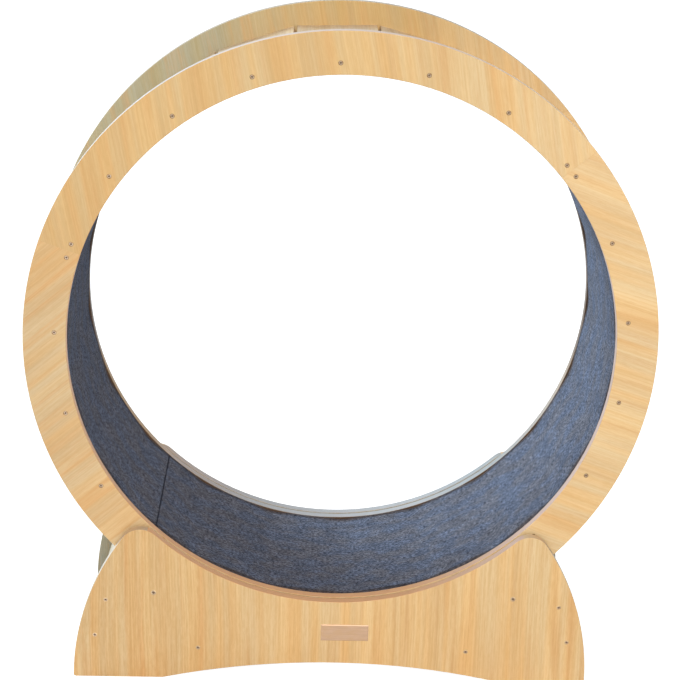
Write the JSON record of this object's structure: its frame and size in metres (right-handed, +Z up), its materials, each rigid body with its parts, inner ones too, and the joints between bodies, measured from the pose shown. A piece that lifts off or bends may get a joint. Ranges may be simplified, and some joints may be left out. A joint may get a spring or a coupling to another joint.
{
  "type": "cat exercise wheel",
  "caption": "Wooden exercise wheel for cats: a felt-lined slatted drum between two rings, turning on grooved rollers in a low cradle base.",
  "frame": {"origin": "on the floor, straight below the middle of the wheel", "axes": "+Z up; +Y along the wheel's axis, from the front panel with the plate to the rear; +X to the right as seen from the front"},
  "size_m": [1, 0.3772, 1.075],
  "materials": {
    "ring_wood": "straight-grained light veneer, clear satin lacquer",
    "panel_wood": "straight-grained light veneer, clear satin lacquer",
    "slat_board": "pale laminated board, satin",
    "inner_board": "light veneer, pale edges",
    "dowel_wood": "plain beech",
    "needle_felt": "heathered blue-grey needle felt",
    "screw_steel": "zinc-plated",
    "zinc_steel": "zinc-plated",
    "bearing_steel": "ground and polished",
    "tyre_nylon": "turned off-white nylon",
    "plate_copper": "brushed, copper-coloured, bare"
  },
  "bodies": {
    "base": {"base_front_panel": "panel_wood", "base_rear_panel": "panel_wood", "left_cross_board": "inner_board", "right_cross_board": "inner_board", "left_bottom_rail": "inner_board", "right_bottom_rail": "inner_board", "rail_dowels": "dowel_wood", "base_front_screws": "screw_steel", "base_rear_screws": "screw_steel", "roller_axle_screws": "screw_steel", "roller_spacers": "zinc_steel", "roller_washers": "zinc_steel", "bearing_inner_rings": "bearing_steel", "roller_lock_nuts": "zinc_steel", "name_plate": "plate_copper"},
    "wheel": {"front_ring_segment_1": "ring_wood", "front_ring_segment_2": "ring_wood", "front_ring_segment_3": "ring_wood", "rear_ring_segment_1": "ring_wood", "rear_ring_segment_2": "ring_wood", "rear_ring_segment_3": "ring_wood", "slat_01": "slat_board", "slat_02": "slat_board", "slat_03": "slat_board", "slat_04": "slat_board", "slat_05": "slat_board", "slat_06": "slat_board", "slat_07": "slat_board", "slat_08": "slat_board", "slat_09": "slat_board", "slat_10": "slat_board", "slat_11": "slat_board", "slat_12": "slat_board", "slat_13": "slat_board", "slat_14": "slat_board", "slat_15": "slat_board", "slat_16": "slat_board", "slat_17": "slat_board", "slat_18": "slat_board", "slat_19": "slat_board", "slat_20": "slat_board", "slat_21": "slat_board", "running_carpet": "needle_felt", "front_ring_screws": "screw_steel", "rear_ring_screws": "screw_steel"},
    "front_left_roller": {"front_left_tyre": "tyre_nylon", "front_left_bearing_outer_ring": "bearing_steel", "front_left_bearing_balls": "bearing_steel"},
    "front_right_roller": {"front_right_tyre": "tyre_nylon", "front_right_bearing_outer_ring": "bearing_steel", "front_right_bearing_balls": "bearing_steel"},
    "rear_left_roller": {"rear_left_tyre": "tyre_nylon", "rear_left_bearing_outer_ring": "bearing_steel", "rear_left_bearing_balls": "bearing_steel"},
    "rear_right_roller": {"rear_right_tyre": "tyre_nylon", "rear_right_bearing_outer_ring": "bearing_steel", "rear_right_bearing_balls": "bearing_steel"}
  },
  "joints": [
    {"name": "wheel_spin", "type": "hinge", "parent": "base", "child": "wheel", "pos_m": [0, 0, 0.575], "axis": [0, 1, 0], "continuous": true},
    {"name": "front_left_roller_spin", "type": "hinge", "parent": "base", "child": "front_left_roller", "pos_m": [-0.29375, -0.1615, 0.15345], "axis": [0, 1, 0], "continuous": true},
    {"name": "front_right_roller_spin", "type": "hinge", "parent": "base", "child": "front_right_roller", "pos_m": [0.29375, -0.1615, 0.15345], "axis": [0, 1, 0], "continuous": true},
    {"name": "rear_left_roller_spin", "type": "hinge", "parent": "base", "child": "rear_left_roller", "pos_m": [-0.29375, 0.1615, 0.15345], "axis": [0, 1, 0], "continuous": true},
    {"name": "rear_right_roller_spin", "type": "hinge", "parent": "base", "child": "rear_right_roller", "pos_m": [0.29375, 0.1615, 0.15345], "axis": [0, 1, 0], "continuous": true}
  ],
  "couplings": [
    {"joint": "front_left_roller_spin", "follows": "wheel_spin", "ratio": -37.037},
    {"joint": "front_right_roller_spin", "follows": "wheel_spin", "ratio": -37.037},
    {"joint": "rear_left_roller_spin", "follows": "wheel_spin", "ratio": -37.037},
    {"joint": "rear_right_roller_spin", "follows": "wheel_spin", "ratio": -37.037}
  ]
}
